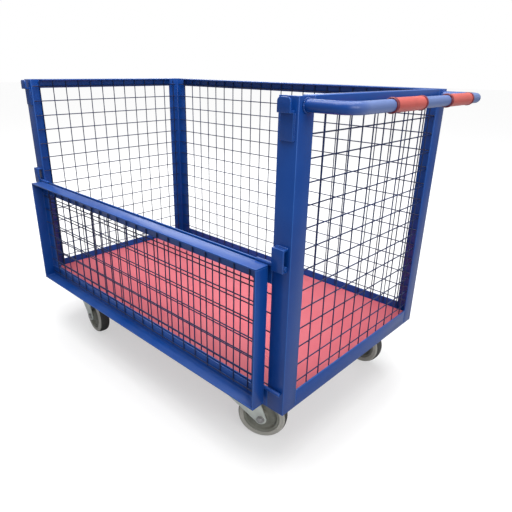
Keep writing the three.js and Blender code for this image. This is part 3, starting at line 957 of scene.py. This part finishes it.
def makeWheel(corner, turn):
    along = axleLine(corner, turn)
    half = wheel["width"] / 2
    boss = half + wheel["bossReach"]
    tread, core = wheel["tread"], wheel["core"]
    tyreSide = [(core + outward, half - inward) for outward, inward in wheel["tyreFoot"]]
    tyreSide += [(tread - down, half - inward) for down, inward in wheel["shoulder"]]
    tyre = newBmesh()
    addTurned(tyre, mirrored(tyreSide), wheel["steps"], along)
    axis = along.to_3x3() @ Vector((0, 0, 1))
    arms = [(face, face.calc_center_median() - along.translation) for face in tyre.faces]
    bandFrom = tread - wheel["band"]
    running = [face for face, arm in arms if (arm - axis * arm.dot(axis)).length > bandFrom]
    markFaces(tyre, running, "tone", 1)
    finishPiece(
        f"tyre_{corner}", tyre, tyreRubber, f"wheel_{corner}",
        (f"caster_tyre_{corner}",), sharpAngle=50,
    )
    hubSide = [(radius, boss - inward) for radius, inward in wheel["boss"]]
    hubSide += [(radius, half - inward) for radius, inward in wheel["dish"]]
    hubSide += [(core - down, half - inward) for down, inward in wheel["rim"]]
    hub = newBmesh()
    addTurned(hub, mirrored(hubSide), wheel["steps"], along)
    finishPiece(
        f"hub_{corner}", hub, wheelMoulding, f"wheel_{corner}",
        (f"caster_hub_{corner}",), sharpAngle=40,
    )


for cornerName in corners:
    stemPlace, wheelTurn = casterPlace(cornerName)
    makeCasterPlate(cornerName)
    makeRaceway(cornerName, stemPlace)
    makeFork(cornerName)
    makeAxle(cornerName, wheelTurn)
    makeWheel(cornerName, wheelTurn)
print("casters ready")


# ---- floor, light and camera
studio = {
    "floorSize": 60.0, "floorColour": (0.45, 0.45, 0.45), "floorBounce": (0.38, 0.38, 0.39),
    "glowNear": (0.9, 0.5), "glowFar": (3.2, 0.76),  # distance from the cart, emission
    "skyStrength": 0.42,
    # name: (place, aim, size, power, colour)
    "lights": {
        "topSoft": ((0.1, -0.2, 3.6), (0, 0, 0.4), 3.2, 190, (1, 1, 1)),
        "keyRight": ((3.4, -1.2, 1.9), (0.2, 0, 0.5), 1.8, 52, (1, 0.99, 0.97)),
        "farSoft": ((-2.6, 2.5, 2.3), (0, 0, 0.5), 2.0, 40, (0.94, 0.97, 1)),
    },
}
view = {
    "eyeFromCage": (1.1667, -1.0734, 0.9761),  # from the floor under the middle of the cage
    "heading": 133.44, "downward": 21.77, "roll": 0.86,
    "lens": 33.06, "sensor": 36, "shift": 0.0213,
}


def makeStudio():
    bm = bmesh.new()
    bmesh.ops.create_grid(bm, x_segments=1, y_segments=1, size=studio["floorSize"] / 2)
    mesh = bpy.data.meshes.new("studio_floor")
    bm.to_mesh(mesh)
    bm.free()
    material, tree, shader = newMaterial("studioFloor", Roughness=0.9)
    seen = addNode(tree, "ShaderNodeLightPath").outputs["Is Camera Ray"]
    shade = mixColour(tree, seen, studio["floorBounce"], studio["floorColour"])
    tree.links.new(shade, shader.inputs["Base Color"])
    place = addNode(tree, "ShaderNodeTexCoord").outputs["Object"]
    reach = addNode(tree, "ShaderNodeVectorMath", {"Vector": place}, operation="LENGTH")
    (near, nearGlow), (far, farGlow) = studio["glowNear"], studio["glowFar"]
    fade = rangeNode(tree, reach.outputs["Value"], near, far, nearGlow, farGlow)
    glow = scaled(tree, seen, fade)
    shader.inputs["Emission Color"].default_value = (1, 1, 1, 1)
    tree.links.new(glow, shader.inputs["Emission Strength"])
    mesh.materials.append(material)
    floor = addObject("studio_floor", mesh)

    world = bpy.data.worlds.new("studioWorld")
    world.use_nodes = True
    background = world.node_tree.nodes["Background"]
    background.inputs["Color"].default_value = (1, 1, 1, 1)
    sky = world.node_tree
    seen = addNode(sky, "ShaderNodeLightPath").outputs["Is Camera Ray"]
    strength = rangeNode(sky, seen, 0.0, 1.0, studio["skyStrength"], 1.0)
    sky.links.new(strength, background.inputs["Strength"])
    bpy.context.scene.world = world
    for name, (place, aim, size, power, colour) in studio["lights"].items():
        light = bpy.data.lights.new(name, "AREA")
        light.size, light.energy, light.color = size, power, colour
        lamp = addObject(name, light)
        lamp.location = place
        lamp.rotation_euler = (Vector(aim) - Vector(place)).to_track_quat("-Z", "Y").to_euler()


def makeCamera():
    camera = bpy.data.cameras.new("viewpoint")
    camera.sensor_width = view["sensor"]
    camera.lens = view["lens"]
    camera.shift_x = view["shift"]
    heading, down = math.radians(view["heading"]), math.radians(view["downward"])
    level = math.cos(down)
    look = Vector((math.cos(heading) * level, math.sin(heading) * level, -math.sin(down)))
    eye = Vector(view["eyeFromCage"]) + Vector((cageMiddle.x, cageMiddle.y, 0))
    aimed = look.to_track_quat("-Z", "Y").to_matrix().to_4x4()
    roll = Matrix.Rotation(math.radians(view["roll"]), 4, "Z")
    lens = addObject("viewpoint", camera)
    lens.matrix_world = Matrix.Translation(eye) @ aimed @ roll
    bpy.context.scene.camera = lens


makeStudio()
makeCamera()
bpy.context.scene.view_settings.view_transform = "Standard"
